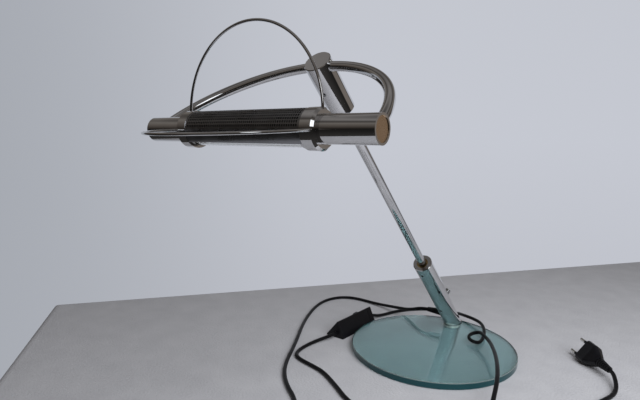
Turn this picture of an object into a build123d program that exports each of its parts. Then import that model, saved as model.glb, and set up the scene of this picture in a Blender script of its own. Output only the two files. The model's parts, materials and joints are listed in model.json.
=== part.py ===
"""Desk lamp with a round glass base, a leaning chrome post and arm, and a turning tube shade.

Millimetres. The origin is the centre of the glass disc on the surface that it stands on, +Z up.
+X runs along the lamp head, and the arm leans towards -Y, the front. A station is a distance along
the arm from the point where its axis meets the glass, or along the head from the head's middle.
"""

from build123d import *
import math
import os

os.makedirs("parts", exist_ok=True)

# Glass base
disc_diameter = 212.0
disc_thickness = 8.0
disc_edge = 0.8
bolt_hole = 12.0
bolt_diameter = 8.0
bolt_head_height = 6.0
bolt_seat_wall = 2.0
bolt_grip = 13.0
bolt_forward = 7.0
gasket_thickness = 0.8
gasket_margin = 0.4

# Post and arm
foot_x = -4.7
foot_from_rim = 14.2
lean = 47.0
post_diameter = 23.5
post_top = 169.5
post_bore = 14.0
post_bore_floor = 40.0
rim_chamfer = 0.6
cord_channel = 7.5
post_channel = 8.6
post_channel_end = 21.0
cord_exit = 28.0
bush_top_gap = 5.0
bush_length = 52.0
lower_bush_length = 24.0
lower_bush_gap = 2.0
running_gap = 0.05
rod_diameter = 10.0
rod_bore = 7.0
rod_foot = 42.0
arm_cable_diameter = 6.0
arm_cable_inset = 2.0
lock_screw_station = 73.0
lock_screw_angle = 70.0
lock_screw_diameter = 5.0
lock_screw_head = 8.0
lock_screw_head_height = 5.0
low_screw_station = 60.0
high_screw_station = 156.5

# Clamp at the top of the arm
clamp_top = 484.5
clamp_length = 53.0
rod_in_clamp = 33.5
bow_below_top = 6.0
wire_hole = 4.0
set_screw_below_top = 25.5
set_screw_diameter = 4.0
set_screw_recess = 0.5
set_screw_socket = 2.0
set_screw_socket_depth = 2.0

# Bow and its sleeve in the clamp
bow_inset = 5.0
bow_rise = 32.3
bow_diameter = 8.0
bow_bore = 6.0
sleeve_diameter = 9.4
sleeve_length = 20.0
lead_diameter = 2.4
lead_clearance = 0.1
lead_start = 4.0
lead_elbow = 2.0
passage_diameter = 6.0

# Head: end tubes, holders and halogen tube
head_half_length = 102.7
cap_diameter = 19.0
cap_wall = 1.5
cap_inner_end = 47.0
cap_end_thickness = 13.5
cap_end_recess = 0.5
holder_start = 53.0
holder_length = 19.0
holder_clearance = 0.1
holder_mouth = 10.0
contact_diameter = 2.8
contact_collar = 6.0
contact_collar_thickness = 2.0
lamp_contact_length = 114.2
lamp_tip_diameter = 3.6
lamp_tip_length = 1.1
lamp_end_diameter = 8.4
lamp_end_length = 6.0
lamp_shoulder_length = 2.5
lamp_diameter = 9.2
lamp_wall = 0.9
lamp_plug_length = 2.5
filament_diameter = 1.2

# Turning shade
ring_diameter = 27.6
ring_inner_face = 52.7
ring_outer_face = 62.6
ring_chamfer = 1.6
ring_tongue = 3.0
glass_diameter = 23.6
glass_wall = 1.3
glass_seat_gap = 0.1
glass_seat = 56.0
shade_wall = 0.8
shade_diameter = 26.8
shade_centre = 45.0
shade_span = 180.0
loop_wire = 2.0
loop_station = 60.9
loop_seat = 2.4
top_loop_angle = 89.4
front_loop_angle = -3.5
clip_thickness = 1.0
clip_depth = 0.6
clip_stand = 0.7
clip_gap = 0.1
clip_mouth = 60.0

# Mains cord, inline dimmer and plug
cord_diameter = 4.6
cord_run_share = 0.45
relief_length = 20.0
relief_root = 10.0
relief_tip = 6.6
switch_mid = (-123.1, -2.1)
switch_heading = 86.2
switch_length = 82.5
switch_base_width = 31.3
switch_height = 24.3
switch_ridge_side = -4.25
switch_ridge_round = 1.5
switch_edge_round = 1.2
switch_floor = 3.0
switch_wall = 2.0
switch_end_wall = 10.0
switch_end_chamfer = 0.7
switch_groove_station = 30.5
switch_groove_width = 1.0
switch_groove_depth = 0.6
switch_cord_height = 6.6
switch_cord_side = -2.5
switch_cord_run = 9.0
slot_length = 30.0
slot_width = 4.0
slot_gap = 0.2
slot_height = 15.5
slot_shift = 10.0
slider_length = 8.0
slider_width = 12.0
slider_proud = 2.6
slider_clearance = 0.15
slider_foot = 1.6
board_length = 54.0
board_width = 16.0
board_side = -1.4
board_thickness = 1.6
board_stand = 2.0
board_stand_diameter = 5.0
board_stand_spacing = 40.0
choke_size = 9.0
choke_height = 3.0
triac_size = (4.0, 7.0, 6.0)
screw_diameter = 3.0
screw_head = 5.6
screw_length = 8.0
screw_inset = 5.0
far_screw_side = 6.0
near_screw_side = -8.5
plug_face = (169.5, 86.0, 12.4)
plug_towards = (-0.62, 0.784, 0.03)
plug_roll = 51.6
plug_width = 28.0
plug_thickness = 14.5
plug_length = 30.0
plug_corner = 4.5
plug_shoulder = 14.0
plug_neck = 11.0
pin_diameter = 4.0
pin_length = 19.0
pin_in_body = 9.0
pin_spacing = 18.6
pin_sleeve_length = 10.0
pin_sleeve_wall = 0.4
plug_relief_length = 18.0
plug_relief_tip = 7.0
plug_relief_ribs = 6
plug_relief_groove = 0.8
plug_cord_run = 6.0

# Curl of the cord over the glass: its middle, radius, first angle, angle from point to point, and rise
curl_middle = (44.1, 37.4)
curl_radius = 7.6
curl_first = 5.0
curl_step = -47.0
curl_points = 8
curl_rise = 11.8
curl_lift_power = 1.5

# Spacing of the points on which a cord's gap to itself is measured, and the stretch left out on each side
gap_spacing = 2.0
gap_stretch = 24.0

# Heights of a cord's middle on the table and on the glass
cord_lift = 0.1
on_table = cord_diameter / 2 + cord_lift
on_glass = disc_thickness + cord_diameter / 2 + cord_lift

# Angles of a quarter turn and a half turn
quarter_turn = 90.0
half_turn = 180.0


# Frames of the arm, the bow and the head
across = Vector(1, 0, 0)
lean_angle = math.radians(lean)
foot_y = disc_diameter / 2 - foot_from_rim
arm_way = Vector(0, -math.sin(lean_angle), math.cos(lean_angle))
foot = Vector(foot_x, foot_y, disc_thickness)
arm_frame = Plane(origin=foot, x_dir=across, z_dir=arm_way)
lean_plane = Plane(origin=foot, x_dir=(0, 1, 0), z_dir=across)
bow_angle = math.radians(bow_rise)
bow_way = Vector(0, math.cos(bow_angle), math.sin(bow_angle))
bow_station = clamp_top - bow_below_top
set_screw_station = clamp_top - set_screw_below_top
bow_radius = head_half_length - bow_inset
bow_middle = foot + arm_way * bow_station
head_middle = bow_middle - bow_way * bow_radius
bow_frame = Plane(origin=head_middle, x_dir=across, z_dir=across.cross(bow_way))
head_frame = Plane(origin=head_middle, x_dir=(0, 1, 0), z_dir=across)


def arm_side(station, angle):
    """A plane on the arm's axis, its normal pointing out at an angle from +X towards the back."""
    turn = math.radians(angle)
    out = across * math.cos(turn) + arm_frame.y_dir * math.sin(turn)
    return Plane(origin=foot + arm_way * station, x_dir=arm_way, z_dir=out)


def turned(profile, frame):
    """A turned solid: the profile's (radius, station) points spun about the frame's z axis."""
    section = Plane(origin=frame.origin, x_dir=frame.x_dir, z_dir=-frame.y_dir)
    with BuildPart() as solid:
        with BuildSketch(section):
            with BuildLine():
                Polyline(*profile, close=True)
            make_face()
        revolve(axis=Axis(frame.origin, frame.z_dir))
    return solid.part


def ring_of_wire(frame, radius, diameter, first, sweep, middle=(0, 0)):
    """A round wire bent on an arc in the frame's plane, from one angle over a sweep."""
    start = math.radians(first)
    out = frame.x_dir * math.cos(start) + frame.y_dir * math.sin(start)
    centre = frame.from_local_coords(Vector(*middle))
    with BuildPart() as wire:
        with BuildSketch(Plane(origin=centre + out * radius, x_dir=out, z_dir=frame.z_dir.cross(out))):
            Circle(diameter / 2)
        revolve(axis=Axis(centre, frame.z_dir), revolution_arc=sweep)
    return wire.part


def cord_tube(points, name):
    """A cord: straight runs joined by arcs, each as large as its two runs allow."""
    places = [Vector(*point) for point in points]
    runs = [after - before for before, after in zip(places, places[1:])]
    radii = []
    for before, after in zip(runs, runs[1:]):
        half_bend = math.radians(before.get_angle(after)) / 2
        radii.append(cord_run_share * min(before.length, after.length) / math.tan(half_bend))
    with BuildPart() as tube:
        with BuildLine() as route:
            FilletPolyline(*places, radius=radii)
        with BuildSketch(Plane(origin=places[0], z_dir=runs[0])):
            Circle(cord_diameter / 2)
        path = route.wire()
        sweep(path=path)
    expected = math.pi * cord_diameter**2 / 4 * path.length
    print(name, "length", round(path.length), "volume share", round(tube.part.volume / expected, 4))
    print(name, "radii", [round(radius) for radius in radii])
    spot_count = round(path.length / gap_spacing)
    spots = [tuple(path.position_at(spot / spot_count)) for spot in range(spot_count + 1)]
    apart = round(gap_stretch / gap_spacing)
    spreads = [math.dist(low, high) for place, low in enumerate(spots) for high in spots[place + apart:]]
    print(name, "least gap to itself", round(min(spreads) - cord_diameter, 2))
    return tube.part


def keep(part, name):
    """Label a finished piece and write it."""
    part.label = name
    export_step(part, f"parts/{name}.step")


# Glass disc, countersunk from below for its bolt
bolt_y = foot_y - bolt_forward
bolt_frame = Plane(origin=(foot_x, bolt_y, 0))
seat_cone = bolt_hole / 2 + bolt_head_height

with BuildPart() as glass_disc:
    Cylinder(disc_diameter / 2, disc_thickness, align=(Align.CENTER, Align.CENTER, Align.MIN))
    chamfer(glass_disc.edges(), disc_edge)
    with BuildSketch(Plane.XY):
        with Locations((foot_x, bolt_y)):
            Circle(bolt_hole / 2)
    extrude(amount=disc_thickness, mode=Mode.SUBTRACT)
    with BuildSketch(Plane.XY):
        with Locations((foot_x, bolt_y)):
            Circle(seat_cone)
    extrude(amount=bolt_head_height, taper=45, mode=Mode.SUBTRACT)
keep(glass_disc.part, "glass_disc")

# Nylon seat between the bolt and the glass
seat_profile = [
    (seat_cone - bolt_seat_wall, 0),
    (seat_cone, 0),
    (bolt_hole / 2, bolt_head_height),
    (bolt_hole / 2, disc_thickness),
    (bolt_diameter / 2, disc_thickness),
    (bolt_diameter / 2, seat_cone - bolt_seat_wall - bolt_diameter / 2),
]
keep(turned(seat_profile, bolt_frame), "bolt_seat")

# Countersunk bolt up into the post
bolt_end = disc_thickness + gasket_thickness + bolt_grip
bolt_profile = [
    (0, 0),
    (seat_cone - bolt_seat_wall, 0),
    (bolt_diameter / 2, seat_cone - bolt_seat_wall - bolt_diameter / 2),
    (bolt_diameter / 2, bolt_end),
    (0, bolt_end),
]
keep(turned(bolt_profile, bolt_frame), "base_bolt")

# Dark gasket under the post's slanted foot
post_seat = disc_thickness + gasket_thickness
foot_length = post_diameter / math.cos(lean_angle)
with BuildPart() as foot_gasket:
    with BuildSketch(Plane.XY.offset(disc_thickness)):
        with Locations((foot_x, foot_y)):
            Ellipse(post_diameter / 2 + gasket_margin, foot_length / 2 + gasket_margin)
        with Locations((foot_x, bolt_y)):
            Circle(bolt_diameter / 2, mode=Mode.SUBTRACT)
    extrude(amount=gasket_thickness)
keep(foot_gasket.part, "foot_gasket")

# Post: a leaning bar cut flat on the glass, bored for the arm, the cord and its screws
with BuildPart() as post:
    with BuildSketch(arm_frame.offset(-foot_length)):
        Circle(post_diameter / 2)
    extrude(amount=post_top + foot_length)
    chamfer(post.faces().sort_by(Axis(foot, arm_way))[-1].edges(), rim_chamfer)
    split(bisect_by=Plane.XY.offset(post_seat), keep=Keep.TOP)
    with BuildSketch(arm_frame.offset(post_top)):
        Circle(post_bore / 2)
    extrude(amount=post_bore_floor - post_top, mode=Mode.SUBTRACT)
    with BuildSketch(arm_frame.offset(post_bore_floor)):
        Circle(post_channel / 2)
    extrude(amount=post_channel_end - post_bore_floor, mode=Mode.SUBTRACT)
    with BuildSketch(arm_side(cord_exit, half_turn)):
        Circle(cord_channel / 2)
    extrude(amount=post_diameter, mode=Mode.SUBTRACT)
    with BuildSketch(arm_side(lock_screw_station, lock_screw_angle)):
        Circle(lock_screw_diameter / 2)
    extrude(amount=post_diameter, mode=Mode.SUBTRACT)
    for station in (low_screw_station, high_screw_station):
        with BuildSketch(arm_side(station, -quarter_turn)):
            Circle(set_screw_diameter / 2)
        extrude(amount=post_diameter, mode=Mode.SUBTRACT)
    with BuildSketch(bolt_frame):
        Circle(bolt_diameter / 2)
    extrude(amount=bolt_end, mode=Mode.SUBTRACT)
keep(post.part, "post")

# Two bearing bushes in the post, each held by a grub screw
bush_top = post_top - bush_top_gap
bush_foot = post_bore_floor + lower_bush_gap
bush_spans = {
    "upper_bush": (bush_top - bush_length, bush_top),
    "lower_bush": (bush_foot, bush_foot + lower_bush_length),
}
for name, (bush_start, bush_end) in bush_spans.items():
    bush_profile = [
        (rod_diameter / 2 + running_gap, bush_start),
        (post_bore / 2, bush_start),
        (post_bore / 2, bush_end),
        (rod_diameter / 2 + running_gap, bush_end),
    ]
    keep(turned(bush_profile, arm_frame), name)


def grub_screw(station, tip):
    """A grub screw with a hexagon socket on the arm's underside, its tip at a radius."""
    frame = arm_side(station, -quarter_turn)
    face = post_diameter / 2 - set_screw_recess
    with BuildPart() as screw:
        with BuildSketch(frame.offset(tip)):
            Circle(set_screw_diameter / 2)
        extrude(amount=face - tip)
        with BuildSketch(frame.offset(face)):
            RegularPolygon(set_screw_socket / 2, 6, major_radius=False)
        extrude(amount=-set_screw_socket_depth, mode=Mode.SUBTRACT)
    return screw.part


with BuildPart() as post_set_screws:
    for station in (low_screw_station, high_screw_station):
        add(grub_screw(station, post_bore / 2))
keep(post_set_screws.part, "post_set_screws")

# Lock screw that grips the arm in the post
lock_frame = arm_side(lock_screw_station, lock_screw_angle)
lock_tip = rod_diameter / 2 + running_gap
lock_profile = [
    (0, lock_tip),
    (lock_screw_diameter / 2, lock_tip),
    (lock_screw_diameter / 2, post_diameter / 2),
    (lock_screw_head / 2, post_diameter / 2),
    (lock_screw_head / 2, post_diameter / 2 + lock_screw_head_height),
    (0, post_diameter / 2 + lock_screw_head_height),
]
keep(turned(lock_profile, lock_frame), "post_lock_screw")

# Tapered strain relief where the cord leaves the post
relief_frame = arm_side(cord_exit, half_turn)
relief_end = post_diameter / 2 + relief_length
relief_profile = [
    (cord_diameter / 2, post_channel / 2),
    (cord_channel / 2, post_channel / 2),
    (cord_channel / 2, post_diameter / 2),
    (relief_root / 2, post_diameter / 2),
    (relief_tip / 2, relief_end),
    (cord_diameter / 2, relief_end),
]
keep(turned(relief_profile, relief_frame), "cord_relief")

# Arm rod with the cable inside it
rod_top = clamp_top - clamp_length + rod_in_clamp
rod_profile = [
    (rod_bore / 2, rod_foot),
    (rod_diameter / 2, rod_foot),
    (rod_diameter / 2, rod_top),
    (rod_bore / 2, rod_top),
]
keep(turned(rod_profile, arm_frame), "arm_rod")
cable_profile = [
    (0, rod_foot + arm_cable_inset),
    (arm_cable_diameter / 2, rod_foot + arm_cable_inset),
    (arm_cable_diameter / 2, rod_top - arm_cable_inset),
    (0, rod_top - arm_cable_inset),
]
keep(turned(cable_profile, arm_frame), "arm_cable")

# Clamp: bored for the rod from below and for the bow's sleeve across
with BuildPart() as clamp:
    with BuildSketch(arm_frame.offset(clamp_top - clamp_length)):
        Circle(post_diameter / 2)
    extrude(amount=clamp_length)
    chamfer(clamp.edges().filter_by(GeomType.CIRCLE), rim_chamfer)
    with BuildSketch(arm_frame.offset(clamp_top - clamp_length)):
        Circle(rod_diameter / 2)
    extrude(amount=rod_in_clamp, mode=Mode.SUBTRACT)
    with BuildSketch(arm_frame.offset(rod_top)):
        Circle(wire_hole / 2)
    extrude(amount=bow_station - rod_top, mode=Mode.SUBTRACT)
    with BuildSketch(arm_side(bow_station, 0)):
        Circle(sleeve_diameter / 2 + running_gap)
    extrude(amount=post_diameter, both=True, mode=Mode.SUBTRACT)
    with BuildSketch(arm_side(set_screw_station, -quarter_turn)):
        Circle(set_screw_diameter / 2)
    extrude(amount=post_diameter, mode=Mode.SUBTRACT)
keep(clamp.part, "clamp")

# Grub screw that holds the rod in the clamp
keep(grub_screw(set_screw_station, rod_diameter / 2), "clamp_set_screw")

# Bow: a half-round tube from end cap to end cap, its middle in the clamp
bow_outside = ring_of_wire(bow_frame, bow_radius, bow_diameter, 0, half_turn)
bow_inside = ring_of_wire(bow_frame, bow_radius, bow_bore, 0, half_turn)
with BuildPart() as bow:
    add(bow_outside)
    add(bow_inside, mode=Mode.SUBTRACT)
    with BuildSketch(arm_frame.offset(bow_station)):
        Circle(wire_hole / 2)
    extrude(amount=-bow_diameter, mode=Mode.SUBTRACT)
keep(bow.part, "bow")

# Sleeve that carries the bow in the clamp's cross bore
with BuildPart() as bow_sleeve:
    with BuildSketch(arm_side(bow_station, 0)):
        Circle(sleeve_diameter / 2)
    extrude(amount=sleeve_length / 2, both=True)
    add(bow_outside, mode=Mode.SUBTRACT)
    with BuildSketch(arm_frame.offset(bow_station)):
        Circle(wire_hole / 2)
    extrude(amount=-sleeve_diameter, mode=Mode.SUBTRACT)
keep(bow_sleeve.part, "bow_sleeve")

# Right half of the head, made once and mirrored
cap_bore = cap_diameter - 2 * cap_wall
clip_inner = glass_seat - clip_gap - clip_thickness
clip_outer = glass_seat - clip_gap
cap_profile = [
    (cap_bore / 2, cap_inner_end),
    (cap_diameter / 2, cap_inner_end),
    (cap_diameter / 2, clip_inner),
    (cap_diameter / 2 - clip_depth, clip_inner),
    (cap_diameter / 2 - clip_depth, clip_outer),
    (cap_diameter / 2, clip_outer),
    (cap_diameter / 2, head_half_length),
    (cap_bore / 2, head_half_length),
]
with BuildPart() as cap_right:
    add(turned(cap_profile, head_frame))
    add(bow_outside, mode=Mode.SUBTRACT)

# End plug: the bow's foot sits in it, and a passage leads its wire inwards
lead_radius = bow_radius + bow_bore / 2 - lead_diameter / 2 - lead_clearance
passage_drop = lead_elbow
end_face = head_half_length - cap_end_recess
end_inner = end_face - cap_end_thickness
with BuildPart() as cap_end_right:
    with BuildSketch(head_frame.offset(end_inner)):
        Circle(cap_bore / 2)
    extrude(amount=cap_end_thickness)
    add(bow_outside, mode=Mode.SUBTRACT)
    with BuildSketch(Plane(origin=head_middle - bow_way * passage_drop, x_dir=bow_way, z_dir=across)):
        Circle(passage_diameter / 2)
    extrude(amount=lead_radius + lead_diameter / 2, mode=Mode.SUBTRACT)

# Ceramic lampholder
holder_end = holder_start + holder_length
lamp_half = lamp_contact_length / 2
mouth_floor = lamp_half + contact_collar_thickness
holder_profile = [
    (holder_mouth / 2, holder_start),
    (cap_bore / 2 - holder_clearance, holder_start),
    (cap_bore / 2 - holder_clearance, holder_end),
    (contact_diameter / 2, holder_end),
    (contact_diameter / 2, mouth_floor),
    (holder_mouth / 2, mouth_floor),
]
with BuildPart() as lampholder_right:
    add(turned(holder_profile, head_frame))

# Contact pin, from the lamp's tip out of the back of the holder
contact_end = holder_end + contact_collar_thickness
contact_profile = [
    (0, lamp_half),
    (contact_diameter / 2, lamp_half),
    (contact_diameter / 2, holder_end),
    (contact_collar / 2, holder_end),
    (contact_collar / 2, contact_end),
    (0, contact_end),
]
with BuildPart() as contact_right:
    add(turned(contact_profile, head_frame))

# Wire through one arm of the bow to the contact
with BuildPart() as lead_right:
    with BuildLine(bow_frame) as lead_route:
        bend = CenterArc((0, 0), lead_radius, quarter_turn - lead_start, lead_start - quarter_turn)
        CenterArc((lead_radius - lead_elbow, 0), lead_elbow, 0, -quarter_turn)
        Line((lead_radius - lead_elbow, -lead_elbow), (contact_end, -lead_elbow))
    with BuildSketch(Plane(origin=bend @ 0, z_dir=bend % 0)):
        Circle(lead_diameter / 2)
    sweep(path=lead_route.wire())

# Ring that turns on the cap and holds the shade, the glass and the loops
loop_base = ring_diameter / 2 - loop_seat
loop_wires = {}
for name, angle in (("loop_top", top_loop_angle), ("loop_front", front_loop_angle)):
    rise = math.radians(angle)
    loop_way = Vector(0, -math.cos(rise), math.sin(rise))
    loop_frame = Plane(origin=head_middle, x_dir=across, z_dir=across.cross(loop_way))
    loop_wires[name] = ring_of_wire(loop_frame, loop_station, loop_wire, 0, half_turn, (0, loop_base))

shade_bore = shade_diameter / 2 - shade_wall
ring_profile = [
    (cap_diameter / 2 + running_gap, glass_seat),
    (glass_diameter / 2 + glass_seat_gap, glass_seat),
    (glass_diameter / 2 + glass_seat_gap, ring_inner_face - ring_tongue),
    (shade_bore, ring_inner_face - ring_tongue),
    (shade_bore, ring_inner_face),
    (ring_diameter / 2, ring_inner_face),
    (ring_diameter / 2, ring_outer_face - ring_chamfer),
    (ring_diameter / 2 - ring_chamfer, ring_outer_face),
    (cap_diameter / 2 + running_gap, ring_outer_face),
]
with BuildPart() as ring_right:
    add(turned(ring_profile, head_frame))
    for wire in loop_wires.values():
        add(wire, mode=Mode.SUBTRACT)

right_pieces = {
    "cap": cap_right,
    "cap_end": cap_end_right,
    "lampholder": lampholder_right,
    "contact": contact_right,
    "lead": lead_right,
    "ring": ring_right,
}
for name, right in right_pieces.items():
    with BuildPart() as left:
        mirror(right.part, about=lean_plane)
    keep(right.part, name + "_right")
    keep(left.part, name + "_left")
for name, wire in loop_wires.items():
    keep(wire, name)

# Snap rings that keep the turning rings on the caps
with BuildPart() as retaining_rings:
    with BuildSketch(head_frame.offset(clip_inner)):
        Circle(cap_diameter / 2 + clip_stand)
        Circle(cap_diameter / 2 - clip_depth, mode=Mode.SUBTRACT)
        with BuildLine():
            reach = cap_diameter
            half_mouth = math.radians(clip_mouth / 2)
            mouth_x = reach * math.cos(half_mouth)
            mouth_y = reach * math.sin(half_mouth)
            Polyline((0, 0), (mouth_x, mouth_y), (mouth_x, -mouth_y), close=True)
        make_face(mode=Mode.SUBTRACT)
    extrude(amount=clip_thickness)
    mirror(about=lean_plane)
keep(retaining_rings.part, "retaining_rings")

# Clear glass tube in the rings
tube_profile = [
    (glass_diameter / 2 - glass_wall, -glass_seat),
    (glass_diameter / 2, -glass_seat),
    (glass_diameter / 2, glass_seat),
    (glass_diameter / 2 - glass_wall, glass_seat),
]
keep(turned(tube_profile, head_frame), "glass_tube")

# Half-round shade on the rings' tongues, centred above the front
shade_first = half_turn - shade_centre - shade_span / 2
with BuildPart() as shade_shell:
    with BuildSketch(head_frame):
        with BuildLine():
            outer = CenterArc((0, 0), shade_diameter / 2, shade_first, shade_span)
            inner = CenterArc((0, 0), shade_bore, shade_first, shade_span)
            Line(outer @ 0, inner @ 0)
            Line(outer @ 1, inner @ 1)
        make_face()
    extrude(amount=ring_inner_face, both=True)
keep(shade_shell.part, "shade_shell")

# Halogen tube: ceramic ends, quartz envelope and filament
shoulder_end = lamp_half - lamp_tip_length - lamp_end_length
shoulder_start = shoulder_end - lamp_shoulder_length
plug_start = shoulder_start - lamp_plug_length
lamp_bore = lamp_diameter - 2 * lamp_wall
lamp_end_profile = [
    (0, plug_start),
    (lamp_bore / 2, plug_start),
    (lamp_bore / 2, shoulder_start),
    (lamp_diameter / 2, shoulder_start),
    (lamp_diameter / 2, shoulder_end),
    (lamp_end_diameter / 2, shoulder_end),
    (lamp_end_diameter / 2, lamp_half - lamp_tip_length),
    (lamp_tip_diameter / 2, lamp_half - lamp_tip_length),
    (lamp_tip_diameter / 2, lamp_half),
    (0, lamp_half),
]
with BuildPart() as lamp_ends:
    add(turned(lamp_end_profile, head_frame))
    mirror(about=lean_plane)
keep(lamp_ends.part, "lamp_ends")

envelope_profile = [
    (lamp_bore / 2, -shoulder_start),
    (lamp_diameter / 2, -shoulder_start),
    (lamp_diameter / 2, shoulder_start),
    (lamp_bore / 2, shoulder_start),
]
keep(turned(envelope_profile, head_frame), "lamp_envelope")

filament_profile = [
    (0, -plug_start),
    (filament_diameter / 2, -plug_start),
    (filament_diameter / 2, plug_start),
    (0, plug_start),
]
keep(turned(filament_profile, head_frame), "lamp_filament")

# Inline dimmer: a three-sided housing lying beside the disc
heading = math.radians(switch_heading)
switch_way = Vector(math.cos(heading), math.sin(heading), 0)
switch_side = Vector(-math.sin(heading), math.cos(heading), 0)
switch_origin = Vector(*switch_mid, 0)
switch_section = Plane(origin=switch_origin, x_dir=switch_side, z_dir=switch_way)
switch_top_view = Plane(origin=switch_origin, x_dir=switch_way, z_dir=(0, 0, 1))
half_base = switch_base_width / 2
far_run = half_base - switch_ridge_side
near_run = half_base + switch_ridge_side
slope_angle = math.atan2(switch_height, far_run)
slope_out = switch_side * math.sin(slope_angle) + Vector(0, 0, math.cos(slope_angle))
slot_side = half_base - far_run * slot_height / switch_height
slot_middle = switch_origin + switch_way * slot_shift + switch_side * slot_side + Vector(0, 0, slot_height)
slot_frame = Plane(origin=slot_middle, x_dir=switch_way, z_dir=slope_out)
near_slope_angle = math.atan2(switch_height, near_run)
near_slope_out = Vector(0, 0, math.cos(near_slope_angle)) - switch_side * math.sin(near_slope_angle)
near_slope = Plane(origin=switch_origin - switch_side * half_base, x_dir=switch_way, z_dir=near_slope_out)

seam_far = (half_base - far_run * switch_floor / switch_height, switch_floor)
seam_near = (near_run * switch_floor / switch_height - half_base, switch_floor)
base_near = (-half_base, 0)
base_far = (half_base, 0)
ridge = (switch_ridge_side, switch_height)

screw_spots = [
    (switch_length / 2 - screw_inset, far_screw_side),
    (screw_inset - switch_length / 2, near_screw_side),
]

# Countersunk screws from below, and the base plate with the board's stands
with BuildPart() as switch_screws:
    head_height = (screw_head - screw_diameter) / 2
    screw_profile = [
        (0, 0),
        (screw_head / 2, 0),
        (screw_diameter / 2, head_height),
        (screw_diameter / 2, screw_length),
        (0, screw_length),
    ]
    for spot_x, spot_y in screw_spots:
        spot = switch_origin + switch_way * spot_x + switch_side * spot_y
        add(turned(screw_profile, Plane(origin=spot, x_dir=switch_way, z_dir=(0, 0, 1))))
keep(switch_screws.part, "switch_screws")

with BuildPart() as switch_base:
    with BuildSketch(switch_section) as base_outline:
        with BuildLine():
            Polyline(base_near, base_far, seam_far, seam_near, close=True)
        make_face()
        fillet(base_outline.vertices().sort_by(Axis.Y)[:2], switch_edge_round)
    extrude(amount=switch_length / 2, both=True)
    with BuildSketch(switch_top_view.offset(switch_floor)):
        with GridLocations(board_stand_spacing, 0, 2, 1):
            Circle(board_stand_diameter / 2)
    extrude(amount=board_stand)
    add(switch_screws.part, mode=Mode.SUBTRACT)
keep(switch_base.part, "switch_base")

# Cover: a thin shell with thick ends that take the cords and the screws
room_half = switch_length / 2 - switch_end_wall
with BuildPart() as switch_cover:
    with BuildSketch(switch_section) as cover_outline:
        with BuildLine():
            Polyline(seam_near, seam_far, ridge, close=True)
        make_face()
        fillet(cover_outline.vertices().sort_by(Axis.Y)[-1:], switch_ridge_round)
    extrude(amount=switch_length / 2, both=True)
    along_cover = switch_cover.faces().sort_by(Axis(switch_origin, switch_way))
    end_edges = along_cover[0].edges() + along_cover[-1].edges()
    chamfer([edge for edge in end_edges if edge.center().Z > 2 * switch_floor], switch_end_chamfer)
    with BuildSketch(near_slope):
        with Locations((switch_groove_station, 0)):
            Rectangle(switch_groove_width, 4 * switch_height)
    extrude(amount=switch_groove_depth, both=True, mode=Mode.SUBTRACT)
    with BuildSketch(switch_section):
        with BuildLine():
            Polyline(base_near, base_far, ridge, close=True)
        make_face()
        offset(amount=-switch_wall, mode=Mode.REPLACE)
    extrude(amount=room_half, both=True, mode=Mode.SUBTRACT)
    with BuildSketch(switch_section):
        with Locations((switch_cord_side, switch_cord_height)):
            Circle(cord_diameter / 2)
    extrude(amount=switch_length, both=True, mode=Mode.SUBTRACT)
    with BuildSketch(slot_frame):
        Rectangle(slot_length, slot_width)
    extrude(amount=switch_wall * 2, both=True, mode=Mode.SUBTRACT)
    add(switch_screws.part, mode=Mode.SUBTRACT)
keep(switch_cover.part, "switch_cover")

# Slider on the far slope, with a stem through the slot and a foot inside
stem_width = slot_width - 2 * slot_gap
with BuildPart() as switch_slider:
    with BuildSketch(slot_frame.offset(slider_clearance)):
        Rectangle(slider_length, slider_width)
    extrude(amount=slider_proud)
    chamfer(switch_slider.faces().sort_by(Axis(slot_middle, slope_out))[-1].edges(), slider_proud / 3)
    with BuildSketch(slot_frame.offset(slider_clearance)):
        Rectangle(stem_width, stem_width)
    extrude(amount=-(switch_wall + 2 * slider_clearance + slider_foot))
    with BuildSketch(slot_frame.offset(-switch_wall - slider_clearance)):
        Rectangle(slider_length, stem_width + 2)
    extrude(amount=-slider_foot)
keep(switch_slider.part, "switch_slider")

# Dimmer board with its choke and triac
board_bottom = switch_floor + board_stand
board_top = board_bottom + board_thickness
with BuildPart() as dimmer_board:
    with BuildSketch(switch_top_view.offset(board_bottom)):
        with Locations((0, board_side)):
            Rectangle(board_length, board_width)
    extrude(amount=board_thickness)
    with BuildSketch(switch_top_view.offset(board_top)):
        with Locations((board_length / 2 - choke_size, board_side)):
            Circle(choke_size / 2)
    extrude(amount=choke_height)
    with BuildSketch(switch_top_view.offset(board_top)):
        with Locations((choke_size - board_length / 2, board_side)):
            Rectangle(triac_size[0], triac_size[1])
    extrude(amount=triac_size[2])
keep(dimmer_board.part, "dimmer_board")

# Two-pin plug, rolled on its side
plug_way = Vector(*plug_towards).normalized()
level_side = Vector(0, 0, -1).cross(plug_way).normalized()
plug_lift = level_side.cross(plug_way)
roll = math.radians(plug_roll)
pin_line = level_side * math.cos(roll) + plug_lift * math.sin(roll)
plug_frame = Plane(origin=plug_face, x_dir=pin_line, z_dir=plug_way)

with BuildPart() as plug_body:
    with BuildSketch(plug_frame):
        RectangleRounded(plug_width, plug_thickness, plug_corner)
    extrude(amount=-plug_shoulder)
    with BuildSketch(plug_frame.offset(-plug_shoulder)):
        RectangleRounded(plug_width, plug_thickness, plug_corner)
    with BuildSketch(plug_frame.offset(-plug_length)):
        RectangleRounded(plug_neck, plug_neck, plug_corner)
    loft()
    with BuildSketch(plug_frame):
        with GridLocations(pin_spacing, 0, 2, 1):
            Circle(pin_diameter / 2)
    extrude(amount=-pin_in_body, mode=Mode.SUBTRACT)
keep(plug_body.part, "plug_body")

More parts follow.
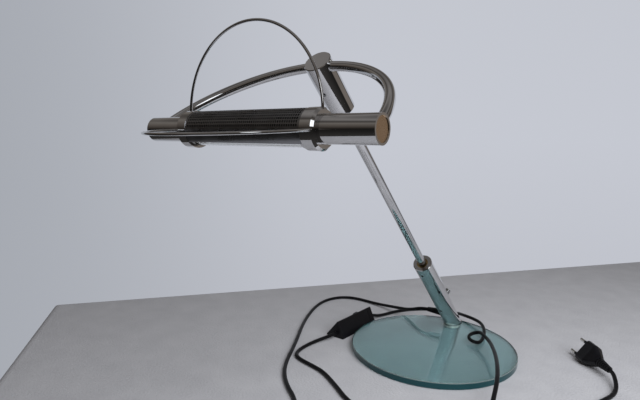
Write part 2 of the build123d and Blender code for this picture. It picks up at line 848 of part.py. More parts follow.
with BuildPart() as plug_pins:
    with BuildSketch(plug_frame.offset(-pin_in_body)):
        with GridLocations(pin_spacing, 0, 2, 1):
            Circle(pin_diameter / 2)
    extrude(amount=pin_in_body)
    with BuildSketch(plug_frame):
        with GridLocations(pin_spacing, 0, 2, 1):
            Circle(pin_diameter / 2 - pin_sleeve_wall)
    extrude(amount=pin_sleeve_length)
    with BuildSketch(plug_frame.offset(pin_sleeve_length)):
        with GridLocations(pin_spacing, 0, 2, 1):
            Circle(pin_diameter / 2)
    extrude(amount=pin_length - pin_sleeve_length)
    fillet(plug_pins.faces().sort_by(Axis(plug_face, plug_way))[-2:].edges(), pin_diameter / 4)
keep(plug_pins.part, "plug_pins")

with BuildPart() as pin_sleeves:
    with BuildSketch(plug_frame):
        with GridLocations(pin_spacing, 0, 2, 1):
            Circle(pin_diameter / 2)
            Circle(pin_diameter / 2 - pin_sleeve_wall, mode=Mode.SUBTRACT)
    extrude(amount=pin_sleeve_length)
keep(pin_sleeves.part, "pin_sleeves")

# Ribbed strain relief behind the plug
rib_pitch = plug_relief_length / plug_relief_ribs
plug_back = plug_frame.offset(-plug_length)
relief_outline = [(cord_diameter / 2, 0), (plug_neck / 2 - plug_relief_groove, 0)]
for rib in range(plug_relief_ribs):
    share = rib / plug_relief_ribs
    crest = (plug_neck * (1 - share) + plug_relief_tip * share) / 2
    near = -rib * rib_pitch - rib_pitch / 3
    far = -rib * rib_pitch - rib_pitch
    relief_outline.append((crest - plug_relief_groove, near))
    relief_outline.append((crest, near))
    relief_outline.append((crest, far))
    relief_outline.append((crest - plug_relief_groove, far))
relief_outline.append((cord_diameter / 2, -plug_relief_length))
keep(turned(relief_outline, plug_back), "plug_relief")

# Cord from the post to the dimmer
exit_point = relief_frame.from_local_coords(Vector(0, 0, relief_end))
cord_in_switch = switch_section.from_local_coords(Vector(switch_cord_side, switch_cord_height, 0))
switch_near = cord_in_switch - switch_way * (switch_length / 2)
switch_far = cord_in_switch + switch_way * (switch_length / 2)
relief_back = plug_frame.from_local_coords(Vector(0, 0, -plug_length - plug_relief_length))
lamp_route = [
    exit_point,
    (-48.0, 71.8, 26.2),
    (-61.0, 76.0, 20.4),
    (-76.0, 82.5, 15.0),
    (-92.0, 89.5, 11.6),
    (-111.0, 98.0, 7.6),
    (-132.5, 104.8, 4.2),
    (-155.5, 109.5, on_table),
    (-178.0, 112.0, on_table),
    (-198.5, 108.0, on_table),
    (-213.5, 94.0, on_table),
    (-220.5, 70.0, on_table),
    (-217.5, 41.5, on_table),
    (-207.5, 10.5, on_table),
    (-194.5, -21.0, on_table),
    (-178.5, -53.0, on_table),
    (-161.0, -84.5, on_table),
    (-146.5, -112.5, on_table),
    (-133.0, -140.5, on_table),
    (-116.0, -168.0, on_table),
    (-93.5, -190.5, on_table),
    (-67.0, -208.5, on_table),
    (-49.0, -231.0, on_table),
    (-31.0, -251.0, on_table),
    (-7.0, -261.0, on_table),
    (18.0, -257.0, on_table),
    (36.0, -241.0, on_table),
    (40.0, -216.0, on_table),
    (28.0, -195.0, on_table),
    (3.0, -186.0, on_table),
    (-23.0, -177.0, on_table),
    (-45.5, -161.0, on_table),
    (-76.5, -141.5, on_table),
    (-98.0, -136.0, on_table),
    (-120.0, -131.5, on_table),
    (-132.5, -124.0, on_table),
    (-137.5, -110.0, on_table),
    (-138.0, -93.0, on_table),
    (-134.5, -75.5, 3.4),
    (-128.0, -60.0, 5.2),
    switch_near - switch_way * switch_cord_run,
    switch_near,
]
keep(cord_tube(lamp_route, "cord_lamp"), "cord_lamp")

# Cord from the dimmer round the post, over the glass in a small curl, and on to the plug
curl = []
for point in range(curl_points):
    turn = math.radians(curl_first + curl_step * point)
    lift = curl_rise * (point / (curl_points - 1)) ** curl_lift_power
    curl_x = curl_middle[0] + curl_radius * math.cos(turn)
    curl_y = curl_middle[1] + curl_radius * math.sin(turn)
    curl.append((curl_x, curl_y, on_glass + lift))
plug_route = [
    switch_far,
    switch_far + switch_way * switch_cord_run,
    (-112.0, 57.5, 3.8),
    (-108.5, 71.0, on_table),
    (-104.5, 82.5, on_table),
    (-100.0, 94.5, on_table),
    (-93.0, 106.5, on_table),
    (-84.0, 119.0, on_table),
    (-71.0, 131.5, on_table),
    (-52.0, 142.5, on_table),
    (-27.0, 143.5, 3.6),
    (-9.0, 128.0, 9.6),
    (4.0, 115.0, 13.4),
    (20.0, 105.0, 15.2),
    (35.0, 94.0, 15.8),
    (45.0, 77.0, 15.2),
    (50.0, 61.0, 13.4),
    (52.0, 48.0, 11.4),
    *curl,
    (57.8, 32.4, 22.8),
    (66.8, 20.4, 23.4),
    (76.5, 1.5, 25.0),
    (86.5, -22.0, 27.4),
    (96.0, -49.0, 29.6),
    (104.0, -75.0, 30.4),
    (109.5, -98.5, 29.0),
    (112.5, -119.0, 24.4),
    (114.5, -137.0, 16.0),
    (120.0, -151.5, 7.6),
    (131.0, -161.0, on_table),
    (148.0, -163.0, on_table),
    (164.5, -153.0, on_table),
    (175.5, -132.0, on_table),
    (180.0, -105.0, on_table),
    (183.5, -77.0, on_table),
    (188.0, -49.0, on_table),
    (194.0, -28.0, on_table),
    (200.5, -13.5, on_table),
    (205.8, -0.5, on_table),
    (208.6, 11.5, 3.2),
    (208.4, 23.5, 5.4),
    (206.0, 34.0, 8.6),
    relief_back - plug_way * plug_cord_run,
    relief_back,
]
keep(cord_tube(plug_route, "cord_plug"), "cord_plug")
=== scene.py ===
"""Looks of the desk lamp: camera, light, cords, perforated shade and finishes, in metres."""
import json
import math
import bpy
import numpy as np
from mathutils import Matrix, Vector


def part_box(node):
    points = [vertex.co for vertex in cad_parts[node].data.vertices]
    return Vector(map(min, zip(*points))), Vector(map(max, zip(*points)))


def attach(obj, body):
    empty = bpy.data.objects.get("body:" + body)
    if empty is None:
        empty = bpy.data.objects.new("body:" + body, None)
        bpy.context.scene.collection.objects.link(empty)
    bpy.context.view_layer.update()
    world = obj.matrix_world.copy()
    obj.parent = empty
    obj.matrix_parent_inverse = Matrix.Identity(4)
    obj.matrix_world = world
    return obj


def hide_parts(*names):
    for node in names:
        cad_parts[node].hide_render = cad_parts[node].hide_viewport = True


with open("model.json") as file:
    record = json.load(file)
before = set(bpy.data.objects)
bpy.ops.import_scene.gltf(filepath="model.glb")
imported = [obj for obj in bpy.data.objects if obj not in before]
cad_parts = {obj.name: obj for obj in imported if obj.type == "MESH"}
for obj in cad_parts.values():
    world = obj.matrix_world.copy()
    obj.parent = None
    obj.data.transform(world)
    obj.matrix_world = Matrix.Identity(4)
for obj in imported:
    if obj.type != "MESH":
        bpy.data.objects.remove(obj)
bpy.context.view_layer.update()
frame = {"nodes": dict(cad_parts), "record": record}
nodes = frame["nodes"]
record = frame["record"]
joints = {joint["name"]: joint for joint in record["behaviour"]["joints"]}
scene = bpy.context.scene
scene.view_settings.view_transform = "Standard"

# Camera where the photo was taken
camera_place = Vector((0.2292, -0.5890, 0.2762))
camera_yaw = math.radians(35.09)
camera_pitch = math.radians(7.22)
camera_roll = math.radians(-0.67)
camera_sensor_mm = 36
camera_lens_mm = 27.215
forward = Vector((
    -math.sin(camera_yaw) * math.cos(camera_pitch),
    math.cos(camera_yaw) * math.cos(camera_pitch),
    -math.sin(camera_pitch),
))
level_right = Vector((math.cos(camera_yaw), math.sin(camera_yaw), 0))
level_down = forward.cross(level_right)
right = level_right * math.cos(camera_roll) + level_down * math.sin(camera_roll)
down = level_down * math.cos(camera_roll) - level_right * math.sin(camera_roll)
camera = bpy.data.objects.new("camera", bpy.data.cameras.new("camera"))
camera.data.sensor_fit = "HORIZONTAL"
camera.data.sensor_width = camera_sensor_mm
camera.data.lens = camera_lens_mm
camera.matrix_world = Matrix((
    (right.x, -down.x, -forward.x, camera_place.x),
    (right.y, -down.y, -forward.y, camera_place.y),
    (right.z, -down.z, -forward.z, camera_place.z),
    (0, 0, 0, 1),
))
scene.collection.objects.link(camera)
scene.camera = camera

# Mains cord: the CAD routes in metres
cord_diameter = 0.0046
cord_sides_level = 6
cord_steps_per_point = 8
on_table = 0.0024
on_glass = 0.0104
lamp_route = [
    (-0.03645, 0.07132, 0.02710),
    (-0.0480, 0.0718, 0.0262),
    (-0.0610, 0.0760, 0.0204),
    (-0.0760, 0.0825, 0.0150),
    (-0.0920, 0.0895, 0.0116),
    (-0.1110, 0.0980, 0.0076),
    (-0.1325, 0.1048, 0.0042),
    (-0.1555, 0.1095, on_table),
    (-0.1780, 0.1120, on_table),
    (-0.1985, 0.1080, on_table),
    (-0.2135, 0.0940, on_table),
    (-0.2205, 0.0700, on_table),
    (-0.2175, 0.0415, on_table),
    (-0.2075, 0.0105, on_table),
    (-0.1945, -0.0210, on_table),
    (-0.1785, -0.0530, on_table),
    (-0.1610, -0.0845, on_table),
    (-0.1465, -0.1125, on_table),
    (-0.1330, -0.1405, on_table),
    (-0.1160, -0.1680, on_table),
    (-0.0935, -0.1905, on_table),
    (-0.0670, -0.2085, on_table),
    (-0.0490, -0.2310, on_table),
    (-0.0310, -0.2510, on_table),
    (-0.0070, -0.2610, on_table),
    (0.0180, -0.2570, on_table),
    (0.0360, -0.2410, on_table),
    (0.0400, -0.2160, on_table),
    (0.0280, -0.1950, on_table),
    (0.0030, -0.1860, on_table),
    (-0.0230, -0.1770, on_table),
    (-0.0455, -0.1610, on_table),
    (-0.0765, -0.1415, on_table),
    (-0.0980, -0.1360, on_table),
    (-0.1200, -0.1315, on_table),
    (-0.1325, -0.1240, on_table),
    (-0.1375, -0.1100, on_table),
    (-0.1380, -0.0930, on_table),
    (-0.1345, -0.0755, 0.0034),
    (-0.1280, -0.0600, 0.0052),
    (-0.12394, -0.05241, 0.0066),
    (-0.12334, -0.04342, 0.0066),
]

# Small curl of the plug's cord on the disc
curl_middle = (0.0441, 0.0374)
curl_radius = 0.0076
curl_first = 5.0
curl_step = -47.0
curl_points = 8
curl_rise = 0.0118
curl_lift_power = 1.5


def curl_over_glass():
    """The small curl on the disc: a circle in equal turns, which climbs by a power of the way along it."""
    point = np.arange(curl_points)
    turn = np.radians(curl_first + curl_step * point)
    lift = curl_rise * (point / (curl_points - 1)) ** curl_lift_power
    across = curl_middle[0] + curl_radius * np.cos(turn)
    back = curl_middle[1] + curl_radius * np.sin(turn)
    return np.column_stack([across, back, on_glass + lift]).tolist()


curl = curl_over_glass()

# From the dimmer round the post, over the disc and on to the plug
plug_route = [
    (-0.11787, 0.03889, 0.0066),
    (-0.11728, 0.04787, 0.0066),
    (-0.1120, 0.0575, 0.0038),
    (-0.1085, 0.0710, on_table),
    (-0.1045, 0.0825, on_table),
    (-0.1000, 0.0945, on_table),
    (-0.0930, 0.1065, on_table),
    (-0.0840, 0.1190, on_table),
    (-0.0710, 0.1315, on_table),
    (-0.0520, 0.1425, on_table),
    (-0.0270, 0.1435, 0.0036),
    (-0.0090, 0.1280, 0.0096),
    (0.0040, 0.1150, 0.0134),
    (0.0200, 0.1050, 0.0152),
    (0.0350, 0.0940, 0.0158),
    (0.0450, 0.0770, 0.0152),
    (0.0500, 0.0610, 0.0134),
    (0.0520, 0.0480, 0.0114),
    *curl,
    (0.0578, 0.0324, 0.0228),
    (0.0668, 0.0204, 0.0234),
    (0.0765, 0.0015, 0.0250),
    (0.0865, -0.0220, 0.0274),
    (0.0960, -0.0490, 0.0296),
    (0.1040, -0.0750, 0.0304),
    (0.1095, -0.0985, 0.0290),
    (0.1125, -0.1190, 0.0244),
    (0.1145, -0.1370, 0.0160),
    (0.1200, -0.1515, 0.0076),
    (0.1310, -0.1610, on_table),
    (0.1480, -0.1630, on_table),
    (0.1645, -0.1530, on_table),
    (0.1755, -0.1320, on_table),
    (0.1800, -0.1050, on_table),
    (0.1835, -0.0770, on_table),
    (0.1880, -0.0490, on_table),
    (0.1940, -0.0280, on_table),
    (0.2005, -0.0135, on_table),
    (0.2058, -0.0005, on_table),
    (0.2086, 0.0115, 0.0032),
    (0.2084, 0.0235, 0.0054),
    (0.2060, 0.0340, 0.0086),
    (0.20298, 0.04366, 0.01078),
    (0.19926, 0.04837, 0.01096),
]


def cord_piece(name, route, node):
    """A round cord along a smooth curve that has the route as its control points.

    The curve's depth is 1 and each point carries the cord's radius, so that the curve's box is the cord's.
    """
    curve = bpy.data.curves.new(name, "CURVE")
    curve.dimensions = "3D"
    curve.bevel_depth = 1.0
    curve.bevel_resolution = cord_sides_level
    curve.use_fill_caps = True
    curve.resolution_u = cord_steps_per_point
    line = curve.splines.new("NURBS")
    line.points.add(len(route) - 1)
    for point, place in zip(line.points, route):
        point.co = (*place, 1)
        point.radius = cord_diameter / 2
    line.order_u = 3
    line.use_endpoint_u = True
    piece = bpy.data.objects.new(name, curve)
    scene.collection.objects.link(piece)
    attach(piece, "base")
    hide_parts(node)
    return piece


lamp_cord = cord_piece("lamp_cord", lamp_route, "cord_lamp")
plug_cord = cord_piece("plug_cord", plug_route, "cord_plug")


sharp_angle = math.radians(35)


def new_piece(name, corners, faces, body, node, slot):
    """A mesh piece from arrays of corners and faces, which stands for a CAD node and rides on its body."""
    mesh = bpy.data.meshes.new(name)
    mesh.from_pydata(corners.reshape(-1, 3).tolist(), [], faces.tolist())
    mesh.polygons.foreach_set("use_smooth", np.ones(len(mesh.polygons), dtype=bool))
    mesh.set_sharp_from_angle(angle=sharp_angle)
    piece = bpy.data.objects.new(name, mesh)
    scene.collection.objects.link(piece)
    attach(piece, body)
    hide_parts(node)
    return piece


# Perforated shade: a half-round sheet with a plain band along its lower front edge, backed by a lining whose
# near-black colour is painted shade seen through the holes
head_middle = np.array(joints["shade_turn"]["pos_m"])
shade_half_length = 0.0527
shade_radius = 0.0134
shade_wall = 0.0008
lining_wall = 0.0003
shade_first = math.radians(-45)
shade_last = math.radians(135)
band_last = math.radians(1)
band_steps = 14
hole_pitch = 0.00185
hole_length = 0.00130
row_count = 13
row_hole_share = 0.72
end_margin = 0.0012


def perforated_shade():
    """A cylinder wall cut by lines along it and round it, with a pocket down to the lining at each hole.

    Lines along the head lie at a hole's two ends, one pitch apart, and lines round it at a hole's two sides.
    A cell is a hole where its numbers in the perforated field are even round the shade and odd along it.
    Each corner is the head's middle plus its station along X plus the radius times (-cos a) along Y and
    (sin a) along Z. Three such walls share this grid: outside, the lining's outer face and its inner face.
    A solid cell shows outside and a hole on the lining. A strip joins these two at a hole's sides, and
    another joins the outside and the lining's inner face at the rim.
    """
    column_count = int((2 * shade_half_length - 2 * end_margin) / hole_pitch)
    starts = (np.arange(column_count) - column_count / 2) * hole_pitch + (hole_pitch - hole_length) / 2
    stations = np.concatenate([starts, starts + hole_length, [-shade_half_length, shade_half_length]])
    stations.sort()
    row_pitch = (shade_last - band_last) / (row_count + 0.5)
    row_starts = band_last + (np.arange(row_count) + 0.5) * row_pitch
    band = np.linspace(shade_first, band_last, band_steps)
    angles = np.concatenate([band, row_starts, row_starts + row_hole_share * row_pitch, [shade_last]])
    angles.sort()
    angle, station = np.meshgrid(angles, stations, indexing="ij")
    radii = np.array((shade_radius, shade_radius - shade_wall + lining_wall, shade_radius - shade_wall))
    reach = radii[:, None, None]
    flat = np.broadcast_to(station, (3, *station.shape))
    corners = head_middle + np.stack([flat, -reach * np.cos(angle), reach * np.sin(angle)], axis=-1)

    rows, columns = angle.shape
    layer = rows * columns
    row_number = np.arange(rows - 1)[:, None] - band_steps
    column_number = np.arange(columns - 1)[None, :]
    hole = (row_number >= 0) & (row_number % 2 == 0) & (column_number % 2 == 1)
    number = np.arange(layer).reshape(rows, columns)
    low, low_right = number[:-1, :-1], number[:-1, 1:]
    high, high_right = number[1:, :-1], number[1:, 1:]
    cell = np.stack([low, low_right, high_right, high], axis=-1)
    sides = ((low, low_right), (low_right, high_right), (high_right, high), (high, low))
    faces = [cell[~hole], cell[..., ::-1].reshape(-1, 4) + 2 * layer]
    faces += [np.stack([near, far, far + layer, near + layer], axis=-1)[hole] for near, far in sides]
    rims = (number[0], number[:, -1], number[-1, ::-1], number[::-1, 0])
    for rim in rims:
        faces.append(np.stack([rim[1:], rim[:-1], rim[:-1] + 2 * layer, rim[1:] + 2 * layer], axis=-1))
    plain_faces = sum(len(group) for group in faces)
    faces = np.concatenate([*faces, cell[hole] + layer])
    used, renumbered = np.unique(faces, return_inverse=True)
    return corners.reshape(-1, 3)[used], renumbered.reshape(faces.shape), plain_faces


shade_corners, shade_faces, shade_plain_faces = perforated_shade()
shade = new_piece("perforated_shade", shade_corners, shade_faces, "shade", "shade_shell", "shade_steel")

# Coiled filament between the lamp's ends
coil_radius = 0.0006
coil_wire = 0.00022
coil_pitch = 0.0009
coil_sides = 6
coil_points_per_turn = 12


def coiled_filament():
    """A round wire on a helix, closed by two four-sided faces at each end.

    The helix point is the filament's middle plus its station along X plus the coil radius times
    (cos t, sin t). The wire's section is a six-sided ring round it in the plane of X and the way out.
    """
    lowest, highest = (np.array(corner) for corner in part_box("lamp_filament"))
    turns = (highest[0] - lowest[0]) / coil_pitch
    turn = np.linspace(0, 2 * math.pi * turns, int(turns * coil_points_per_turn))[:, None]
    side = np.linspace(0, 2 * math.pi, coil_sides, endpoint=False)[None, :]
    reach = coil_radius - coil_wire + coil_wire * np.cos(side)
    along = np.linspace(lowest[0] + coil_wire, highest[0] - coil_wire, len(turn))[:, None]
    across = along + coil_wire * np.sin(side)
    middle = (lowest + highest) / 2
    corners = np.stack([across, middle[1] + reach * np.cos(turn), middle[2] + reach * np.sin(turn)], axis=-1)
    number = np.arange(corners.shape[0] * coil_sides).reshape(-1, coil_sides)
    ahead = np.roll(number, -1, axis=1)
    walls = np.stack([number[:-1], number[1:], ahead[1:], ahead[:-1]], axis=-1).reshape(-1, 4)
    end = np.array([[0, 1, 2, 5], [2, 3, 4, 5]])
    return corners, np.concatenate([walls, number[0][end], number[-1][end[:, ::-1]]])


filament = new_piece("coiled_filament", *coiled_filament(), "head", "lamp_filament", "screw_steel")

# Finishes
noise_low = 0.3
noise_high = 0.7
metal_fine_grain = 40
moulded_fine_grain = 12
wiping_marks = 25.0
glass_index = 1.5


def shader_node(tree, kind, inputs=None, **settings):
    """A shader node with its settings and the values of its sockets."""
    made = tree.nodes.new(kind)
    for name, value in settings.items():
        setattr(made, name, value)
    for name, value in (inputs or {}).items():
        made.inputs[name].default_value = value
    return made


def finish(name, **sockets):
    """A principled finish with constant values on its sockets, its tree, shader and Object coordinates."""
    made = bpy.data.materials.new(name)
    made.use_nodes = True
    tree = made.node_tree
    shader = tree.nodes["Principled BSDF"]
    for socket, value in sockets.items():
        shader.inputs[socket.replace("_", " ")].default_value = value
    place = shader_node(tree, "ShaderNodeTexCoord").outputs["Object"]
    return made, tree, shader, place


def noise(tree, place, scale, detail=3.0, stretch=None):
    """Noise over the Object coordinates, with a stretch along each axis if one is given."""
    if stretch:
        mapping = shader_node(tree, "ShaderNodeMapping", {"Scale": stretch})
        tree.links.new(place, mapping.inputs["Vector"])
        place = mapping.outputs["Vector"]
    cloud = shader_node(tree, "ShaderNodeTexNoise", {"Scale": scale, "Detail": detail})
    tree.links.new(place, cloud.inputs["Vector"])
    return cloud.outputs["Fac"]


def spread(tree, value, low, high):
    """A noise value carried to the range from low to high."""
    ends = {"From Min": noise_low, "From Max": noise_high, "To Min": low, "To Max": high}
    ranged = shader_node(tree, "ShaderNodeMapRange", ends)
    tree.links.new(value, ranged.inputs["Value"])
    return ranged.outputs["Result"]


def two_tones(tree, value, dark, pale):
    """A colour between two tones by a noise value."""
    ramp = shader_node(tree, "ShaderNodeValToRGB")
    ramp.color_ramp.elements[0].position = noise_low
    ramp.color_ramp.elements[0].color = (*dark, 1)
    ramp.color_ramp.elements[1].position = noise_high
    ramp.color_ramp.elements[1].color = (*pale, 1)
    tree.links.new(value, ramp.inputs["Fac"])
    return ramp.outputs["Color"]


def relief(tree, shader, value, height):
    """A bump of a height in metres from a noise value."""
    bump = shader_node(tree, "ShaderNodeBump", {"Strength": 1.0, "Distance": height})
    tree.links.new(value, bump.inputs["Height"])
    tree.links.new(bump.outputs["Normal"], shader.inputs["Normal"])


def metal_finish(name, dark, pale, smooth, rough, grain=60.0, stretch=None, height=0.0):
    """Metal with a slow change of tone and polish, and a fine relief where a height is given."""
    made, tree, shader, place = finish(name, Metallic=1.0)
    cloud = noise(tree, place, grain, stretch=stretch)
    tree.links.new(two_tones(tree, cloud, dark, pale), shader.inputs["Base Color"])
    tree.links.new(spread(tree, cloud, smooth, rough), shader.inputs["Roughness"])
    if height:
        relief(tree, shader, noise(tree, place, metal_fine_grain * grain), height)
    return made


def plain_finish(name, dark, pale, smooth, rough, grain=200.0, height=0.00003, **sockets):
    """Plastic, rubber or ceramic: two close tones, a change of gloss and a moulded grain."""
    made, tree, shader, place = finish(name, **sockets)
    cloud = noise(tree, place, grain)
    tree.links.new(two_tones(tree, cloud, dark, pale), shader.inputs["Base Color"])
    tree.links.new(spread(tree, cloud, smooth, rough), shader.inputs["Roughness"])
    relief(tree, shader, noise(tree, place, moulded_fine_grain * grain), height)
    return made


def glass_finish(name, tint, smooth, rough, absorbed=None, density=0.0):
    """Clear glass with faint wiping marks, and a volume that takes its colour along the way through it."""
    made, tree, shader, place = finish(name, Base_Color=(*tint, 1), Transmission_Weight=1.0, IOR=glass_index)
    tree.links.new(spread(tree, noise(tree, place, wiping_marks), smooth, rough), shader.inputs["Roughness"])
    if density:
        depth_tint = {"Color": (*absorbed, 1), "Density": density}
        volume = shader_node(tree, "ShaderNodeVolumeAbsorption", depth_tint)
        tree.links.new(volume.outputs["Volume"], tree.nodes["Material Output"].inputs["Volume"])
    return made


def tint_rim(made, face_tint, rim_tint, rim_clear):
    """Give plate glass a deep colour at its rim, where the Object normal lies level, and less clearness."""
    tree = made.node_tree
    shader = tree.nodes["Principled BSDF"]
    parts = shader_node(tree, "ShaderNodeSeparateXYZ")
    tree.links.new(shader_node(tree, "ShaderNodeTexCoord").outputs["Normal"], parts.inputs["Vector"])
    upright = shader_node(tree, "ShaderNodeMath", operation="ABSOLUTE")
    tree.links.new(parts.outputs["Z"], upright.inputs[0])
    tint = shader_node(tree, "ShaderNodeMix", data_type="RGBA")
    tint.inputs["A"].default_value = (*rim_tint, 1)
    tint.inputs["B"].default_value = (*face_tint, 1)
    tree.links.new(upright.outputs["Value"], tint.inputs["Factor"])
    tree.links.new(tint.outputs["Result"], shader.inputs["Base Color"])
    clear = shader_node(tree, "ShaderNodeMapRange", {"To Min": rim_clear, "To Max": 1.0})
    tree.links.new(upright.outputs["Value"], clear.inputs["Value"])
    tree.links.new(clear.outputs["Result"], shader.inputs["Transmission Weight"])


disc_tint = (0.80, 1.0, 1.0)
disc_rim_tint = (0.0, 0.05, 0.06)
disc_rim_clear = 0.12
disc_depth_tint = (0.12, 0.62, 0.68)
disc_depth_density = 8.0
finishes = {
    "base_glass": glass_finish("base_glass", disc_tint, 0.0, 0.03, disc_depth_tint, disc_depth_density),
    "tube_glass": glass_finish("tube_glass", (0.97, 0.98, 0.98), 0.0, 0.02),
    "quartz": glass_finish("quartz", (0.96, 0.97, 0.98), 0.0, 0.04),
    "chrome": metal_finish("chrome", (0.66, 0.66, 0.67), (0.74, 0.74, 0.75), 0.03, 0.07),
    # end_plug: the tan colour is a painted reflection of a warm brown room on the chrome cap ends
    "end_plug": metal_finish("end_plug", (0.74, 0.54, 0.36), (0.80, 0.59, 0.40), 0.20, 0.26),
    "shade_steel": metal_finish("shade_steel", (0.28, 0.285, 0.30), (0.36, 0.365, 0.385), 0.24, 0.34),
    "screw_steel": metal_finish("screw_steel", (0.40, 0.41, 0.42), (0.52, 0.53, 0.54), 0.18, 0.30),
    "bearing_brass": metal_finish("bearing_brass", (0.62, 0.45, 0.20), (0.74, 0.56, 0.28), 0.20, 0.34),
    "pin_metal": metal_finish("pin_metal", (0.58, 0.57, 0.53), (0.70, 0.69, 0.65), 0.14, 0.26),
    "nylon": plain_finish("nylon", (0.70, 0.70, 0.66), (0.80, 0.80, 0.76), 0.4, 0.5),
    "gasket_rubber": plain_finish("gasket_rubber", (0.02, 0.024, 0.024), (0.035, 0.04, 0.04), 0.6, 0.75),
    "ceramic": plain_finish("ceramic", (0.76, 0.74, 0.68), (0.84, 0.82, 0.77), 0.25, 0.4),
    "wire_sheath": plain_finish("wire_sheath", (0.58, 0.58, 0.56), (0.68, 0.68, 0.66), 0.4, 0.5),
    "cord_black": plain_finish(
        "cord_black", (0.004, 0.004, 0.005), (0.008, 0.008, 0.009), 0.38, 0.5, 90.0, Specular_IOR_Level=0.2
    ),
    "switch_black": plain_finish(
        "switch_black", (0.003, 0.003, 0.004), (0.006, 0.006, 0.008), 0.3, 0.4, Specular_IOR_Level=0.25
    ),
    "board": plain_finish("board", (0.05, 0.20, 0.09), (0.08, 0.27, 0.13), 0.4, 0.55),
}
tint_rim(finishes["base_glass"], disc_tint, disc_rim_tint, disc_rim_clear)
for entry in record["subparts"]:
    node = nodes[entry["node"]]
    node.data.materials.clear()
    node.data.materials.append(finishes[entry["material_slot"]])
own_finishes = {
    lamp_cord: "cord_black",
    plug_cord: "cord_black",
    shade: "shade_steel",
    filament: "screw_steel",
}
for piece, slot in own_finishes.items():
    piece.data.materials.append(finishes[slot])
# The lining is coloured near black: painted shade, the dark inside of the head seen through the holes
lining_painted_shade = plain_finish("lining_painted_shade", (0.004, 0.004, 0.004), (0.007, 0.007, 0.007), 0.6, 0.8)
shade.data.materials.append(lining_painted_shade)
lined = (np.arange(len(shade_faces)) >= shade_plain_faces).astype(np.int32)
shade.data.polygons.foreach_set("material_index", lined)

# Table top: pale, plain and flat, its back and left edges where the photo has them
table_corner = np.array((-0.560, -0.206))
table_along = np.array((0.63, 0.777))
table_forward = np.array((0.777, -0.63))
table_width = 2.2
table_depth = 0.62
table_edge_radius = 0.012
table_gap = 0.0003


def table_top():
    """A flat top with its rim bent down: its corner plus width and depth along two level directions.

    The lines outside each edge of the flat part go on round a quarter of a circle, so that a point moves
    out by the edge radius times sin t and down by the radius times (1 - cos t).
    """
    turn = np.linspace(0, math.pi / 2, 6)[1:]
    out = table_edge_radius * np.sin(turn)
    drop = table_edge_radius * (1 - np.cos(turn))
    along = np.concatenate([-out[::-1], [0, table_width], table_width + out])
    across = np.concatenate([-out[::-1], [0, table_depth], table_depth + out])
    lowered = np.concatenate([drop[::-1], [0, 0], drop])
    u, v = np.meshgrid(along, across, indexing="ij")
    depth = np.maximum(lowered[:, None], lowered[None, :])
    level = table_corner + u[..., None] * table_along + v[..., None] * table_forward
    corners = np.concatenate([level, -table_gap - depth[..., None]], axis=-1).reshape(-1, 3)
    number = np.arange(u.size).reshape(u.shape)
    faces = np.stack([number[:-1, :-1], number[:-1, 1:], number[1:, 1:], number[1:, :-1]], axis=-1)
    return corners, faces.reshape(-1, 4)[:, ::-1]


table_corners, table_faces = table_top()
table_mesh = bpy.data.meshes.new("table")
table_mesh.from_pydata(table_corners.tolist(), [], table_faces.tolist())
table = bpy.data.objects.new("table", table_mesh)
scene.collection.objects.link(table)
table_tones = ((0.43, 0.43, 0.455), (0.47, 0.47, 0.495))
table_finish = plain_finish("table", *table_tones, 0.8, 0.9, 30.0, 0.0006, Specular_IOR_Level=0.2)
table_mesh.materials.append(table_finish)

# Light: a pale backdrop behind the lamp, a dim room on the other sides and one soft lamp at the right
backdrop_way = (-0.57, 0.82, 0.0)
backdrop_right = (0.82, 0.57, 0.0)
backdrop_shade = (0.37, 0.39, 0.43)
backdrop_tones = [
    (-1.0, (0.42, 0.43, 0.47)),
    (0.0, (0.56, 0.58, 0.64)),
    (0.6, (0.54, 0.56, 0.61)),
]
room_tones = [
    (-1.0, (0.05, 0.047, 0.045)),
    (-0.30, (0.018, 0.017, 0.016)),
    (0.00, (0.012, 0.011, 0.010)),
    (0.12, (0.045, 0.037, 0.031)),
    (0.42, (0.13, 0.114, 0.10)),
    (0.55, (0.17, 0.155, 0.14)),
    (0.66, (0.05, 0.044, 0.04)),
    (0.80, (0.22, 0.208, 0.20)),
    (0.92, (0.07, 0.066, 0.064)),
    (1.0, (0.26, 0.255, 0.25)),
]
warm_wall_way = (0.62, 0.78, 0.0)
warm_wall_tone = (0.20, 0.175, 0.155)
window_way = (0.79, -0.50, 0.36)
window_tone = (1.6, 1.65, 1.7)
backdrop_top = (0.30, 0.48)
backdrop_reach = (0.62, 0.70)
backdrop_shade_reach = (-0.1, 0.7)
warm_wall_reach = (0.92, 0.96)
window_reach = (0.975, 0.985)


def tones_by_height(tree, height, tones):
    """A colour by the height of a direction, from -1 straight down to 1 straight up."""
    ramp = shader_node(tree, "ShaderNodeValToRGB")
    stops = ramp.color_ramp.elements
    while len(stops) < len(tones):
        stops.new(1.0)
    for stop, (level, tone) in zip(stops, tones):
        stop.position = (level + 1) / 2
        stop.color = (*tone, 1)
    tree.links.new(height, ramp.inputs["Fac"])
    return ramp.outputs["Color"]


def side_of_room(tree, direction, way, none, full):
    """How far a direction points along a way: 0 up to one cosine of their angle, 1 from another on."""
    towards = shader_node(tree, "ShaderNodeVectorMath", operation="DOT_PRODUCT")
    towards.inputs[1].default_value = way
    tree.links.new(direction, towards.inputs[0])
    share = shader_node(tree, "ShaderNodeMapRange", {"From Min": none, "From Max": full})
    share.interpolation_type = "SMOOTHSTEP"
    tree.links.new(towards.outputs["Value"], share.inputs["Value"])
    return share.outputs["Result"]


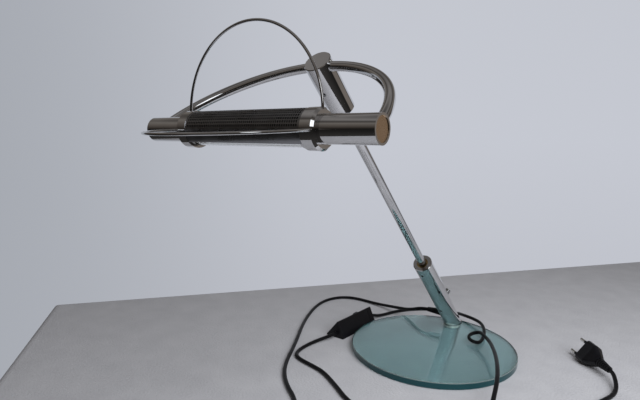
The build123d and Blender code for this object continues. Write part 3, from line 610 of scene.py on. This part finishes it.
def mixed(tree, share, first, second):
    """The first colour where the share is 0 and the second where it is 1; a tone may stand for the second."""
    mix = shader_node(tree, "ShaderNodeMix", data_type="RGBA")
    tree.links.new(share, mix.inputs["Factor"])
    tree.links.new(first, mix.inputs["A"])
    if isinstance(second, tuple):
        mix.inputs["B"].default_value = (*second, 1)
    else:
        tree.links.new(second, mix.inputs["B"])
    return mix.outputs["Result"]


world = bpy.data.worlds.new("room")
scene.world = world
world.use_nodes = True
sky = world.node_tree
direction = shader_node(sky, "ShaderNodeTexCoord").outputs["Generated"]
parts = shader_node(sky, "ShaderNodeSeparateXYZ")
sky.links.new(direction, parts.inputs["Vector"])
height = shader_node(sky, "ShaderNodeMapRange", {"From Min": -1.0, "From Max": 1.0})
sky.links.new(parts.outputs["Z"], height.inputs["Value"])
backdrop = tones_by_height(sky, height.outputs["Result"], backdrop_tones)
shaded = side_of_room(sky, direction, tuple(-step for step in backdrop_right), *backdrop_shade_reach)
backdrop = mixed(sky, shaded, backdrop, backdrop_shade)
room = tones_by_height(sky, height.outputs["Result"], room_tones)
room = mixed(sky, side_of_room(sky, direction, warm_wall_way, *warm_wall_reach), room, warm_wall_tone)
room = mixed(sky, side_of_room(sky, direction, window_way, *window_reach), room, window_tone)
pale_side = side_of_room(sky, direction, backdrop_way, *backdrop_reach)
above = side_of_room(sky, direction, (0.0, 0.0, 1.0), *backdrop_top)
below = shader_node(sky, "ShaderNodeMath", operation="SUBTRACT")
below.inputs[0].default_value = 1.0
sky.links.new(above, below.inputs[1])
pale = shader_node(sky, "ShaderNodeMath", operation="MULTIPLY")
sky.links.new(pale_side, pale.inputs[0])
sky.links.new(below.outputs["Value"], pale.inputs[1])
light_path = shader_node(sky, "ShaderNodeLightPath")
seen = shader_node(sky, "ShaderNodeMath", operation="MAXIMUM")
sky.links.new(light_path.outputs["Is Camera Ray"], seen.inputs[0])
sky.links.new(pale.outputs["Value"], seen.inputs[1])
around = mixed(sky, seen.outputs["Value"], room, backdrop)
sky.links.new(around, sky.nodes["Background"].inputs["Color"])

lamp_place = Vector((0.64, -0.38, 0.72))
lamp_target = Vector((0.16, -0.06, 0.0))
lamp_side = 0.9
lamp_watts = 14
lamp_tone = (0.96, 0.98, 1.0)
soft_lamp = bpy.data.objects.new("soft_lamp", bpy.data.lights.new("soft_lamp", "AREA"))
soft_lamp.data.shape = "RECTANGLE"
soft_lamp.data.size = lamp_side
soft_lamp.data.size_y = lamp_side
soft_lamp.data.energy = lamp_watts
soft_lamp.data.color = lamp_tone
soft_lamp.location = lamp_place
soft_lamp.rotation_euler = (lamp_target - lamp_place).to_track_quat("-Z", "Y").to_euler()
soft_lamp.visible_glossy = False
scene.collection.objects.link(soft_lamp)
